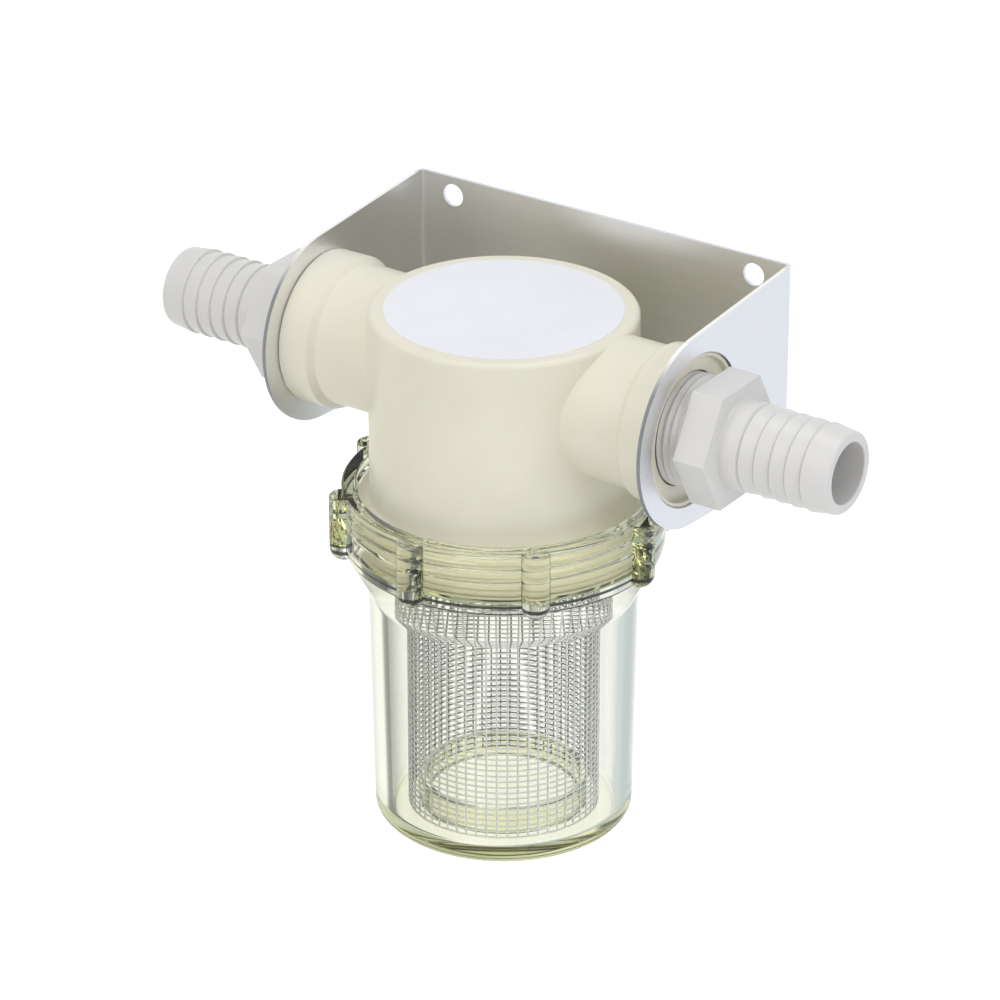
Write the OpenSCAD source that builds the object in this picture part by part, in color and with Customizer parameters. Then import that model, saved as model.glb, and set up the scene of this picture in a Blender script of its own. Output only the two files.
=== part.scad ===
// In-line fresh water strainer hung in a folded wall bracket.
// X runs along the pipe, +Y points into the wall and +Z points up. The origin is on the rear face of the
// bracket, in the middle of its four fixing holes, level with the ports.

/* [Bracket] */
// Width over the two ears
bracket_w = 130; // [118:1:150]
// Thickness of the sheet
sheet_t = 1.2; // [0.8:0.1:2]
// Inside radius of the two folds
fold_r = 1; // [0.5:0.1:3]
// Distance from the wall to the middle of the ports
stand_off = 52; // [52:0.5:70]
// Radius of the round end of each ear
ear_r = 29; // [26:0.5:31]
// Diameter of the hole in each ear
ear_hole_d = 45.6; // [44:0.2:48]
// Diameter of the fixing holes
bolt_d = 7; // [5:0.5:9]
// Distance between the fixing holes along the wall
bolt_span_x = 105; // [90:1:108]
// Distance between the fixing holes up the wall
bolt_span_z = 52.4; // [40:0.2:60]
// Distance from the middle of a fixing hole to the plate's upper or lower edge
bolt_margin = 5.8; // [5:0.1:10]

/* [Head] */
// Diameter of the head
head_d = 78.4; // [74:0.2:84]
// Height of the top face above the middle of the ports
head_top = 21.2; // [18:0.2:26]
// Rounding of the top edge
head_edge_r = 1.6; // [0.6:0.1:3]
// Thickness of the outer wall of the head
head_wall = 4.7; // [3.5:0.1:5.5]
// Depth of the lower rim below the middle of the ports
head_drop = 50; // [47:0.5:54]
// Diameter of each neck
neck_d = 42.4; // [40:0.2:43]
// Length of the thick collar at the end of each neck
collar_len = 9.5; // [6:0.5:12]
// Length of the slope between neck and collar
collar_slope = 2; // [0.5:0.1:3]
// How much the collar's shoulder is larger in radius than the hole in the ear
shoulder_lap = 0.3; // [0.2:0.1:1]
// Depth of the port's face below the shoulder
face_recess = 1.2; // [0.6:0.1:2]
// Wall of the spigot that turns in the ear
spigot_wall = 1; // [0.8:0.1:2]
// Diameter of the water ways inside the head
way_d = 24; // [18:0.5:26]
// Diameter of the well above the screen
well_d = 40; // [34:0.5:46]
// Depth of the socket that holds the top of the screen
socket_depth = 11.6; // [10.5:0.1:14]
// Wall of the socket
socket_wall = 2.1; // [1.4:0.1:2.6]

/* [Hose fittings] */
// Diameter over the pipe thread
thread_d = 33.2; // [30:0.1:34]
// Length of thread screwed into the port
thread_in = 18; // [12:0.5:20]
// Length of thread left showing
thread_show = 7.55; // [5:0.05:12]
// Size across the flats of the hexagon
hex_af = 34.6; // [34:0.1:38]
// Thickness of the hexagon
hex_t = 9.95; // [6:0.05:14]
// Bore of the fitting
bore_d = 18; // [14:0.5:20]
// Diameter over the hose barbs
barb_d = 26; // [25:0.1:28]
// Height of one barb
barb_h = 0.7; // [0.3:0.05:1]
// Distance from barb to barb
barb_pitch = 5; // [3.5:0.1:6]
// Number of barbs
barb_count = 5; // [3:1:6]
// Length of the plain shank next to the hexagon
shank_len = 6.7; // [4:0.1:10]
// Length of the plain nose past the last barb
nose_len = 8.5; // [6:0.1:12]
// Rounding of the nose
nose_r = 1.2; // [0.4:0.1:1.6]

/* [Bowl] */
// Depth of the bowl's rim below the middle of the ports
bowl_top = 33.6; // [33:0.1:36]
// Height of the bowl
bowl_h = 107.4; // [85:0.2:140]
// Height of the threaded collar
bowl_collar_h = 17; // [17:0.1:20]
// Wall of the threaded collar
bowl_collar_wall = 4.4; // [4.3:0.1:6]
// Diameter of the bowl below the collar
bowl_d = 79.4; // [77:0.2:84]
// How much narrower the bowl's outside is at its foot
bowl_taper = 2.6; // [0:0.1:5]
// Height of the cone between collar and bowl
cone_h = 13.5; // [10:0.5:18]
// Wall of the bowl where it is straight
bowl_wall = 5; // [3.5:0.1:5.5]
// Thickness of the floor
floor_t = 4.6; // [3:0.1:7]
// Rounding of the foot
foot_r = 4; // [2:0.1:4.5]
// Rounding where the cone runs into the straight wall
waist_r = 5; // [1:0.5:8]
// Outside diameter of the ring on the floor
ring_d = 49.4; // [44:0.2:54]
// Wall of the ring on the floor
ring_wall = 1.9; // [1.2:0.1:3]
// Height of the ring on the floor
ring_h = 7.9; // [4:0.1:12]
// Number of grip lugs
lug_count = 8; // [6:1:12]
// Diameter of the half-round lugs
lug_d = 8.4; // [6:0.1:8.6]

/* [Seal] */
// Thickness of the seal's round section
seal_t = 2.4; // [1.6:0.1:2.8]

/* [Screen] */
// Outside diameter of the screen
screen_d = 57.2; // [52:0.2:57.8]
// Thickness of the screen's wall
screen_t = 0.6; // [0.5:0.1:1.2]
// Thickness of the ridges that stand for the thick wires
ridge_t = 0.7; // [0.5:0.1:0.9]
// Number of windows around the screen
screen_columns = 20; // [12:4:20]
// Number of windows up the screen
screen_rows = 6; // [4:1:6]
// Width of the upright bars between the windows
bar_w = 1.4; // [1:0.1:3]
// Height of the plain band at the foot of the screen
screen_foot = 2.6; // [1.5:0.1:6]

/* [Label] */
// Diameter of the round label
label_d = 69.4; // [50:0.2:72]
// Thickness of the label
label_t = 0.2; // [0.1:0.05:0.4]

/* [Clearances] */
// Running clearance of the spigots in the ears
spigot_gap = 0.4; // [0.3:0.05:0.6]
// Clearance between a shoulder and its ear
ear_gap = 0.3; // [0.2:0.05:0.6]
// Clearance between the head's thread and the bowl
bowl_gap = 0.4; // [0.3:0.05:0.6]
// Clearance between the seal and the bowl
seal_gap = 0.3; // [0.1:0.05:0.4]
// Clearance of the screen in its socket and at its two ends
screen_gap = 0.3; // [0.2:0.05:0.5]
// Clearance between the pipe thread and its port
thread_gap = 0.35; // [0.2:0.05:0.5]

/* [Hidden] */
$fn = 96;
// How far a cutting solid runs past the face that it opens
over = 1;

// Bracket
plate_h = bolt_span_z + 2 * bolt_margin;
ear_x = bracket_w / 2 - sheet_t;
ear_hole_r = ear_hole_d / 2;
fold_y = sheet_t + fold_r;

// Head, in lengths from the port axis and radii from the head's own axis
head_r = head_d / 2;
chamber_r = head_r - head_wall;
spigot_r = ear_hole_r - spigot_gap;
spigot_end = ear_x + sheet_t / 2;
collar_r = ear_hole_r + shoulder_lap;
shoulder_x = ear_x - ear_gap;
collar_x = shoulder_x - collar_len;
port_face = shoulder_x - face_recess;
port_r = thread_d / 2 + thread_gap;
port_depth = thread_in + 2;
way_r = way_d / 2;
way_roof = way_r + 1;
gallery_spread = 100;
gallery_ledge = 0.5;
well_r = well_d / 2;
edge_break = 0.4;

// Thread between head and bowl
thread_h = 3.4;
skirt_r = head_r + thread_h;
skirt_top = bowl_top + 3;
mouth_r = skirt_r + bowl_gap;

// Seal and its groove
seal_play = 0.05;
seal_land = 0.7;
seal_r = mouth_r - seal_gap - seal_t / 2;
groove_r = seal_r - seal_t / 2 - seal_play;
groove_low = head_drop - seal_land;
groove_high = groove_low - seal_t - 4 * seal_play;
seal_z = -(groove_low + groove_high) / 2;

// Bowl, in heights above or below the port axis
rim_z = -bowl_top;
bowl_z = rim_z - bowl_h;
floor_z = bowl_z + floor_t;
bowl_r = bowl_d / 2;
foot_outer_r = bowl_r - bowl_taper / 2;
bowl_collar_r = mouth_r + bowl_collar_wall;
collar_z = rim_z - bowl_collar_h;
step_h = 2.4;
step_in = 0.6;
// Height above the collar's lower edge at which the round end of a lug starts
lug_rise = 0.4;
cone_z = collar_z - step_h - cone_h;
inner_r = bowl_r - bowl_wall;
inner_foot_r = inner_r - bowl_taper / 2;
thread_runout = 1;
ledge_z = -head_drop - thread_runout;

// Screen, between the stop in its socket and the bowl's floor
screen_r = screen_d / 2;
socket_r = screen_r + screen_gap;
socket_top = -head_drop + socket_depth;
screen_top = socket_top - screen_gap;
screen_low = floor_z + screen_gap;
mesh_low = screen_low + screen_foot;
mesh_high = -head_drop;
window_pitch = (mesh_high - mesh_low) / screen_rows;

// Fitting, in lengths from the middle of the head
hex_x = port_face + thread_show;
hex_end = hex_x + hex_t;
first_barb = hex_end + shank_len;
last_barb = first_barb + (barb_count - 1) * barb_pitch;
fitting_end = last_barb + nose_len;
fitting_start = port_face - thread_in;
barb_r = barb_d / 2;
root_r = barb_r - barb_h;
barb_rise = 0.1;
barb_lead = 0.6;
thread_lead = 1;
hub_fillet = 1.2;
bore_r = bore_d / 2;

// Points of a quarter circle about c, in degrees from a to b
function arc(c, r, a, b, steps = 8) = [
    for (i = [0:steps])
        let (t = a + (b - a) * i / steps)
        [c[0] + r * cos(t), c[1] + r * sin(t)]
];

function unit(v) = v / norm(v);

// Points of an arc that rounds the corner b between its neighbours a and c
function rounded(a, b, c, r, steps = 4) =
    let (u = unit(a - b), w = unit(c - b), half = acos(u * w) / 2, m = b + unit(u + w) * r / sin(half))
    let (from = b + u * r / tan(half) - m, to = b + w * r / tan(half) - m)
    [for (i = [0:steps]) m + r * unit(from * (1 - i / steps) + to * i / steps)];

// Everything that turns about the port axis or hangs from it
module at_ports() {
    translate([0, -stand_off, 0]) children();
}

// Turns a profile drawn as [radius, length] about the X axis, towards +X
module turn_along_x(profile) {
    rotate([0, 90, 0]) rotate_extrude() polygon(profile);
}

module bar_along_x(r, from, to) {
    translate([from, 0, 0]) rotate([0, 90, 0]) cylinder(r = r, h = to - from);
}

// Plan of a folded channel: w wide, back face at -y_back, corners of radius r
module channel_plan(w, y_back, r, reach) {
    translate([-w / 2, -reach]) square([w, reach - y_back - r]);
    translate([-w / 2 + r, -y_back - r - over]) square([w - 2 * r, r + over]);
    for (side = [-1, 1])
        translate([side * (w / 2 - r), -y_back - r]) circle(r = r);
}

// Side view of the ears: tangents run from the plate's corners to the round end
module ear_outline() {
    corner = [-fold_y, plate_h / 2];
    span = stand_off - fold_y;
    to_corner = atan2(corner[1], span);
    to_tangent = to_corner + acos(ear_r / norm([span, corner[1]]));
    tangent = [-stand_off + ear_r * cos(to_tangent), ear_r * sin(to_tangent)];
    polygon([
        [0, corner[1]], corner, tangent,
        [tangent[0], -tangent[1]], [corner[0], -corner[1]], [0, -corner[1]]
    ]);
    translate([-stand_off, 0]) circle(r = ear_r);
}

module bracket() {
    reach = stand_off + ear_r + over;
    color("gainsboro")
    difference() {
        intersection() {
            translate([0, 0, -plate_h / 2]) linear_extrude(plate_h) channel_plan(bracket_w, 0, fold_y, reach);
            translate([-bracket_w / 2, 0, 0]) rotate([90, 0, 90]) linear_extrude(bracket_w) ear_outline();
        }
        translate([0, 0, -plate_h / 2 - over])
            linear_extrude(plate_h + 2 * over)
                channel_plan(bracket_w - 2 * sheet_t, sheet_t, fold_r, reach + over);
        at_ports() bar_along_x(ear_hole_r, -bracket_w / 2 - over, bracket_w / 2 + over);
        for (x = [-1, 1], z = [-1, 1])
            translate([x * bolt_span_x / 2, over, z * bolt_span_z / 2])
                rotate([90, 0, 0]) cylinder(d = bolt_d, h = sheet_t + 2 * over);
    }
}

// Outside of the head, with the threaded skirt that the bowl screws onto and the groove for the seal
module head_outside() {
    rotate_extrude() polygon(concat(
        [[0, -head_drop], [skirt_r - edge_break, -head_drop], [skirt_r, -head_drop + edge_break]],
        [[skirt_r, -groove_low], [groove_r, -groove_low], [groove_r, -groove_high], [skirt_r, -groove_high]],
        [[skirt_r, -skirt_top - thread_h / 3], [head_r, -skirt_top]],
        arc([head_r - head_edge_r, head_top - head_edge_r], head_edge_r, 0, 90),
        [[0, head_top]]
    ));
}

// One neck with its collar, shoulder and the thin spigot that turns in the ear
module neck() {
    neck_r = neck_d / 2;
    turn_along_x([
        [0, 0], [neck_r, 0], [neck_r, collar_x - collar_slope], [collar_r, collar_x],
        [collar_r, shoulder_x - edge_break / 2], [collar_r - edge_break / 2, shoulder_x],
        [spigot_r, shoulder_x], [spigot_r, spigot_end], [spigot_r - spigot_wall, spigot_end],
        [spigot_r - spigot_wall, port_face], [0, port_face]
    ]);
}

// Ring between two radii about the head's axis, cut to the sector that is spread degrees wide about -X
module ring_sector(r_in, r_out, z_low, z_high, spread) {
    rotate([0, 0, 180 - spread / 2])
        rotate_extrude(angle = spread)
            polygon([[r_in, z_low], [r_out, z_low], [r_out, z_high], [r_in, z_high]]);
}

// Water enters the gallery on the left, drops through the ring outside the socket, and leaves by the
// well above the screen on the right
module water_ways() {
    gallery_in = well_r + socket_wall;
    gallery_out = chamber_r - gallery_ledge;
    gallery_low = socket_top + 2 * socket_wall;
    ring_in = socket_r + socket_wall;
    port_end = port_face - port_depth;
    for (side = [0, 180])
        rotate([0, 0, side]) bar_along_x(port_r, port_end, port_face + over);
    bar_along_x(way_r, 0, port_end + over);
    bar_along_x(way_r, -port_end - over, -(gallery_in + chamber_r) / 2);
    ring_sector(gallery_in, gallery_out, gallery_low, way_roof, gallery_spread);
    translate([0, 0, -head_drop - over]) difference() {
        cylinder(r = chamber_r, h = head_drop + over + gallery_low + over);
        translate([0, 0, -over]) cylinder(r = ring_in, h = head_drop + gallery_low + 4 * over);
    }
    translate([0, 0, -head_drop - over]) cylinder(r = socket_r, h = socket_depth + over);
    translate([0, 0, socket_top - over]) cylinder(r = well_r, h = way_roof - socket_top + over);
}

module head() {
    color("ivory")
    at_ports() difference() {
        union() {
            head_outside();
            neck();
            mirror([1, 0, 0]) neck();
        }
        water_ways();
    }
}

module label_disc() {
    color("white")
    at_ports() translate([0, 0, head_top]) cylinder(d = label_d, h = label_t);
}

// Outline of the barbs, from the hexagon to the nose: each rises sharply and falls towards the nose
function barbs() = [
    for (i = [0:barb_count - 1])
        let (x = first_barb + i * barb_pitch)
        each [[root_r, x], [barb_r, x + barb_rise]]
];

// Hose fitting along +X: pipe thread, hexagon, shank, barbs and nose
module fitting() {
    thread_r = thread_d / 2;
    nose_outer = root_r - barb_h / 2;
    hex_r = hex_af / 2 / cos(30);
    difference() {
        union() {
            turn_along_x(concat(
                [[0, fitting_start], [thread_r - thread_lead, fitting_start]],
                [[thread_r, fitting_start + thread_lead], [thread_r, hex_x + over], [barb_r, hex_x + over]],
                arc([barb_r + hub_fillet, hex_end + hub_fillet], hub_fillet, 270, 180, 4),
                [[barb_r, first_barb - barb_lead]],
                barbs(),
                [[root_r, last_barb + barb_pitch]],
                arc([nose_outer - nose_r, fitting_end - nose_r], nose_r, 0, 90),
                [[0, fitting_end]]
            ));
            translate([hex_x, 0, 0]) rotate([0, 90, 0]) rotate([0, 0, 90])
                cylinder(r = hex_r, h = hex_t, $fn = 6);
        }
        bar_along_x(bore_r, fitting_start - over, fitting_end + over);
    }
}

module inlet_fitting() {
    color("whitesmoke") at_ports() mirror([1, 0, 0]) fitting();
}

module outlet_fitting() {
    color("whitesmoke") at_ports() fitting();
}

module bowl_seal() {
    color("white")
    at_ports() translate([0, 0, seal_z])
        rotate_extrude() translate([seal_r, 0]) circle(d = seal_t, $fn = 24);
}

// Wall of the screen turned in one piece, with a ridge round it between each two rows of windows
module screen_wall() {
    wall_r = screen_r - ridge_t / 2;
    rotate_extrude() polygon(concat(
        [[screen_r - screen_t, screen_low], [wall_r, screen_low]],
        [for (row = [0:screen_rows])
            let (z = mesh_low + row * window_pitch)
            each [[wall_r, z - ridge_t / 2], [screen_r, z - ridge_t / 6],
                  [screen_r, z + ridge_t / 6], [wall_r, z + ridge_t / 2]]],
        [[wall_r, screen_top], [screen_r - screen_t, screen_top]]
    ));
}

// Wire-cloth tube: windows between upright bars, with a ridge on each bar and each band
module screen() {
    bar_angle = 360 / screen_columns;
    window_w = 2 * PI * screen_r / screen_columns - bar_w;
    window_h = window_pitch - bar_w;
    color("silver")
    at_ports() {
        difference() {
            screen_wall();
            for (row = [0:screen_rows - 1], column = [0:screen_columns - 1])
                rotate([0, 0, column * bar_angle])
                    translate([screen_r, 0, mesh_low + (row + 0.5) * window_pitch])
                        cube([8 * screen_t, window_w, window_h], center = true);
        }
        for (bar = [0:screen_columns - 1])
            rotate([0, 0, (bar + 0.5) * bar_angle])
                translate([screen_r - ridge_t / 2, 0, mesh_low])
                    cylinder(d = ridge_t * 0.9, h = mesh_high - mesh_low, $fn = 6);
    }
}

// Wall of the bowl: threaded collar, step, cone and cup outside; inside, a ledge below the thread and
// a slightly tapered wall down to the thick floor
module bowl_wall_and_floor() {
    step = [bowl_collar_r - step_in, collar_z - step_h];
    waist = [bowl_r, cone_z];
    rotate_extrude() polygon(concat(
        [[0, bowl_z]],
        arc([foot_outer_r - foot_r, bowl_z + foot_r], foot_r, -90, 0),
        rounded([foot_outer_r, bowl_z + foot_r], waist, step, waist_r),
        [step, [step[0], collar_z - step_in]],
        [[bowl_collar_r, collar_z], [bowl_collar_r, rim_z - edge_break], [bowl_collar_r - edge_break, rim_z]],
        [[mouth_r + edge_break, rim_z], [mouth_r, rim_z - edge_break], [mouth_r, ledge_z]],
        [[inner_r, ledge_z], [inner_foot_r, floor_z], [0, floor_z]]
    ));
}

// Half-round grip lug, from its round lower end up to the rim
module grip_lug() {
    lug_h = bowl_collar_h - lug_rise;
    translate([bowl_collar_r, 0, collar_z + lug_rise]) rotate_extrude() polygon(concat(
        arc([0, 0], lug_d / 2, -90, 0, 6),
        [[lug_d / 2, lug_h], [0, lug_h]]
    ));
}

module bowl() {
    color("palegoldenrod", 0.5)
    at_ports() {
        bowl_wall_and_floor();
        for (lug = [0:lug_count - 1])
            rotate([0, 0, lug * 360 / lug_count]) grip_lug();
        translate([0, 0, floor_z - over]) difference() {
            cylinder(d = ring_d, h = ring_h + over);
            translate([0, 0, over]) cylinder(d = ring_d - 2 * ring_wall, h = ring_h + over);
        }
    }
}

bracket();
head();
label_disc();
inlet_fitting();
outlet_fitting();
bowl_seal();
screen();
bowl();
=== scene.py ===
"""Looks of the fresh water strainer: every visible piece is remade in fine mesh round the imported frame.

Lengths in the profiles are millimetres in the frame of the part: X along the pipe, +Y into the wall, +Z up.
"""
import math
from collections import namedtuple

import bmesh
import bpy
import numpy as np
from mathutils import Matrix, Vector


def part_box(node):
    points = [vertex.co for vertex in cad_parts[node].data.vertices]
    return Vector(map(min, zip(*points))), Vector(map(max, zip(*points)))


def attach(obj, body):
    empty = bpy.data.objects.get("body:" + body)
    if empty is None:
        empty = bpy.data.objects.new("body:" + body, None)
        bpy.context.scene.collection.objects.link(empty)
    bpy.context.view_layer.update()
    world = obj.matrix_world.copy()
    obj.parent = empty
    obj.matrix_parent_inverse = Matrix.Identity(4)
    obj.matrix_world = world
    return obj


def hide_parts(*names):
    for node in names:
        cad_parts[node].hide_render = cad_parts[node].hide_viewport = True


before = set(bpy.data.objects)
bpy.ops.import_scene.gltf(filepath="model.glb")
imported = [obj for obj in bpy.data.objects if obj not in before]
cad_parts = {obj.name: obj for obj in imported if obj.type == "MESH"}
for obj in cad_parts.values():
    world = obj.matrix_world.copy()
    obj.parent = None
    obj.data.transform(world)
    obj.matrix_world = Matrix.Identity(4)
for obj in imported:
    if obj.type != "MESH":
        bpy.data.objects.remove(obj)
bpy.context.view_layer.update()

MM = 0.001


# ---------------------------------------------------------------- camera

CAMERA_FROM = (0.73064, -1.13666, 0.60739)
CAMERA_TO = (0.006867, -0.064169, -0.033022)
LENS_MM = 180.165
SENSOR_MM = 36


def linked(name, data):
    """A new object of the scene that holds a mesh, a lamp or a camera."""
    made = bpy.data.objects.new(name, data)
    bpy.context.scene.collection.objects.link(made)
    return made


def aimed(made, place, target):
    """Puts a camera or a lamp at its place and turns it towards its target."""
    made.location = place
    made.rotation_euler = (Vector(target) - Vector(place)).to_track_quat("-Z", "Y").to_euler()
    return made


def place_camera():
    camera = aimed(linked("camera", bpy.data.cameras.new("camera")), CAMERA_FROM, CAMERA_TO)
    camera.data.lens = LENS_MM
    camera.data.sensor_width = SENSOR_MM
    bpy.context.scene.camera = camera


place_camera()


# ---------------------------------------------------------------- sizes

def box_mm(node):
    """Lowest and highest corner of a CAD node, in millimetres."""
    low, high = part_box(node)
    return low / MM, high / MM


BRACKET_LOW, BRACKET_HIGH = box_mm("bracket")
HEAD_LOW, HEAD_HIGH = box_mm("head")
LABEL_LOW, LABEL_HIGH = box_mm("label_disc")
FITTING_LOW, FITTING_HIGH = box_mm("outlet_fitting")
SEAL_LOW, SEAL_HIGH = box_mm("bowl_seal")
SCREEN_LOW, SCREEN_HIGH = box_mm("screen")
BOWL_LOW, BOWL_HIGH = box_mm("bowl")

# Head, screen and bowl stand on one upright axis, which crosses the ports' axis at this Y
AXIS_Y = (HEAD_LOW.y + HEAD_HIGH.y) / 2

# Bracket
SHEET_T = 1.2
FOLD_R = 2.2
PLATE_H = 64
EAR_X = BRACKET_HIGH.x
EAR_R = AXIS_Y - BRACKET_LOW.y
EAR_HOLE_R = 22.8
BOLT_R = 3.5
BOLT_X, BOLT_Z = 52.5, 26.2
SHEET_EDGE = 0.18

# Head
HEAD_R = 39.2
HEAD_TOP = LABEL_LOW.z
SKIRT_R = HEAD_HIGH.y - AXIS_Y
SKIRT_FOOT = HEAD_LOW.z
SKIRT_TOP = -36.6
GROOVE_R = 40.25
GROOVE_LOW, GROOVE_HIGH = -49.3, -46.7
CHAMBER_R = 34.5
SOCKET_R, SOCKET_WALL, SOCKET_TOP = 28.9, 2.1, -38.4
WELL_R, WELL_TOP = 20, 13
GALLERY_LOW, GALLERY_DEGREES = -34.2, 100
NECK_R, NECK_START = 21.2, 12
COLLAR_R, COLLAR_X, COLLAR_TAPER, SHOULDER_X = 23.1, 54, 2, 63.5
SPIGOT_R, SPIGOT_WALL, SPIGOT_X = 22.4, 1, HEAD_HIGH.x
PORT_R, PORT_FACE, PORT_END = 16.95, 62.3, 42.3
WAY_R = 12

# The ball that rounds the crease between neck and head. The crease ends this many degrees above level.
CREASE_BALL, CREASE_END = 0.7, 66

# A helical thread: radius of the plain wall, lowest and highest level, pitch, length over which it fades
# out, and the section of one turn as (share of the pitch, depth), with depth positive towards the axis
Thread = namedtuple("Thread", "wall_r low high pitch fade section")

# Hose fittings
THREAD_R, THREAD_BEVEL = 16.6, 1
PIPE_PITCH = 2.2
PIPE_THREAD = [(0, 0.03), (0.06, 0), (0.12, 0.03), (0.48, 0.7), (0.56, 0.75), (0.64, 0.7)]
HEX_X, HEX_END, HEX_EDGE = 69.85, 79.8, 0.25
HEX_R = (FITTING_HIGH.y - FITTING_LOW.y) / 2
BARB_R, BARB_ROOT_R, BARB_GROOVE_R = 13, 12.35, 12.0
FIRST_BARB, BARB_PITCH, BARBS = 86.5, 5, 5
RIDGE_R = BARB_R + 1.2
NOSE_R, BORE_R = 11.95, 9

# Bowl
BOWL_FOOT, BOWL_RIM = BOWL_LOW.z, BOWL_HIGH.z
MOUTH_R, BOWL_COLLAR_R = 43, 47.4
LUG_R = BOWL_HIGH.y - AXIS_Y - BOWL_COLLAR_R
LUGS = 8
BOWL_COLLAR_FOOT, BOWL_COLLAR_BEVEL = -50.6, 0.6
STEP_R, STEP_FOOT = BOWL_COLLAR_R - BOWL_COLLAR_BEVEL, BOWL_COLLAR_FOOT - 2.4
LUG_FOOT = BOWL_COLLAR_FOOT + 0.4 - LUG_R
BOWL_R, BOWL_FOOT_R = 39.7, 38.4
INNER_R, INNER_FOOT_R, FLOOR = 34.7, 33.4, -136.4
CONE_H = 13.5
RING_R, RING_WALL, RING_TOP = 24.7, 1.9, -128.5
BOWL_PITCH, BOWL_THREAD_FADE = 4, 1.2
BOWL_THREAD = [(0, 0), (0.3, 0), (0.36, 0.14), (0.46, 0.71), (0.52, 0.85), (0.78, 0.85), (0.84, 0.71),
               (0.94, 0.14)]

# Screen
SCREEN_R = SCREEN_HIGH.y - AXIS_Y
UPRIGHTS, HOOP_PITCH = 60, 1.86
WIRE_R, WEAVE = 0.27, 0.06


# ---------------------------------------------------------------- mesh helpers

def object_from(name, verts, faces):
    """A mesh object whose points are given in millimetres."""
    mesh = bpy.data.meshes.new(name)
    mesh.from_pydata([tuple(v) for v in np.asarray(verts, float) * MM], [], faces)
    mesh.update()
    return linked(name, mesh)


def outwards(made):
    """Merges doubles and turns every face outwards."""
    shape = bmesh.new()
    shape.from_mesh(made.data)
    bmesh.ops.remove_doubles(shape, verts=shape.verts, dist=1e-7)
    bmesh.ops.recalc_face_normals(shape, faces=shape.faces)
    shape.to_mesh(made.data)
    shape.free()
    return made


def moved(made, matrix):
    made.data.transform(matrix)
    made.data.update()
    return made


def to_head(made):
    """Puts a shape drawn about the origin on the upright axis of the head."""
    return moved(made, Matrix.Translation((0, AXIS_Y * MM, 0)))


def to_ports(made, side=1):
    """Lays a shape turned about Z along the port axis, towards +X or, with side -1, towards -X."""
    along_x = Matrix.Rotation(math.pi / 2, 4, "Y")
    turn = Matrix.Rotation(0 if side > 0 else math.pi, 4, "Z")
    return to_head(moved(made, turn @ along_x))


def ring(centre, radius, count, start=0.0, sweep=2 * math.pi):
    """Points on a circle, or with a smaller sweep on an arc that includes both its ends."""
    last = count if sweep >= 2 * math.pi else count - 1
    return [(centre[0] + radius * math.cos(start + sweep * k / last),
             centre[1] + radius * math.sin(start + sweep * k / last)) for k in range(count)]


def rounded(corners, steps=5):
    """Profile points from corners (radius, length, rounding): a rounded corner becomes an arc."""
    points = []
    last = len(corners) - 1
    for i, (r, z, fillet) in enumerate(corners):
        here = Vector((r, z))
        if not fillet:
            points.append(here)
            continue
        before = (Vector(corners[i - 1][:2]) - here).normalized()
        after = (Vector(corners[i + 1 if i < last else 0][:2]) - here).normalized()
        half = before.angle(after) / 2
        centre = here + (before + after).normalized() * fillet / math.sin(half)
        first = here + before * fillet / math.tan(half) - centre
        final = here + after * fillet / math.tan(half) - centre
        sweep = first.angle_signed(final)
        for k in range(steps + 1):
            points.append(centre + Matrix.Rotation(-sweep * k / steps, 2) @ first)
    return [tuple(p) for p in points]


def held(profile, gap=0.25):
    """The profile with a point just inside both ends of every long side, so that its faces stay flat."""
    points = []
    for a, b in zip(profile, profile[1:] + profile[:1]):
        a, b = Vector(a), Vector(b)
        points.append(tuple(a))
        if (b - a).length > 4 * gap and (a.x or b.x):
            step = (b - a).normalized() * gap
            points += [tuple(a + step), tuple(b - step)]
    return points


def thread_rows(thread, segments):
    """Radius, height and partner row at the seam of the rows that follow a right-hand helix."""
    turns = math.ceil((thread.high - thread.low) / thread.pitch) + 2
    along = np.array([(k - 1 + part) * thread.pitch for k in range(turns) for part, _ in thread.section])
    depth = np.array([d for _ in range(turns) for _, d in thread.section])
    height = thread.low + along[:, None] + thread.pitch * np.arange(segments) / segments
    start = np.clip((height - thread.low) / thread.fade, 0, 1)
    end = np.clip((thread.high - height) / thread.fade, 0, 1)
    radius = thread.wall_r - depth[:, None] * (start * end)
    partner = np.minimum(np.arange(len(along)) + len(thread.section), len(along) - 1)
    return radius, np.clip(height, thread.low, thread.high), partner


def holds_thread(thread, r, z, next_r, next_z):
    """True for the side of a profile that is the thread's wall over the thread's whole length."""
    on_wall = max(abs(r - thread.wall_r), abs(next_r - thread.wall_r)) < 1e-6
    return on_wall and min(z, next_z) <= thread.low and max(z, next_z) >= thread.high


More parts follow.
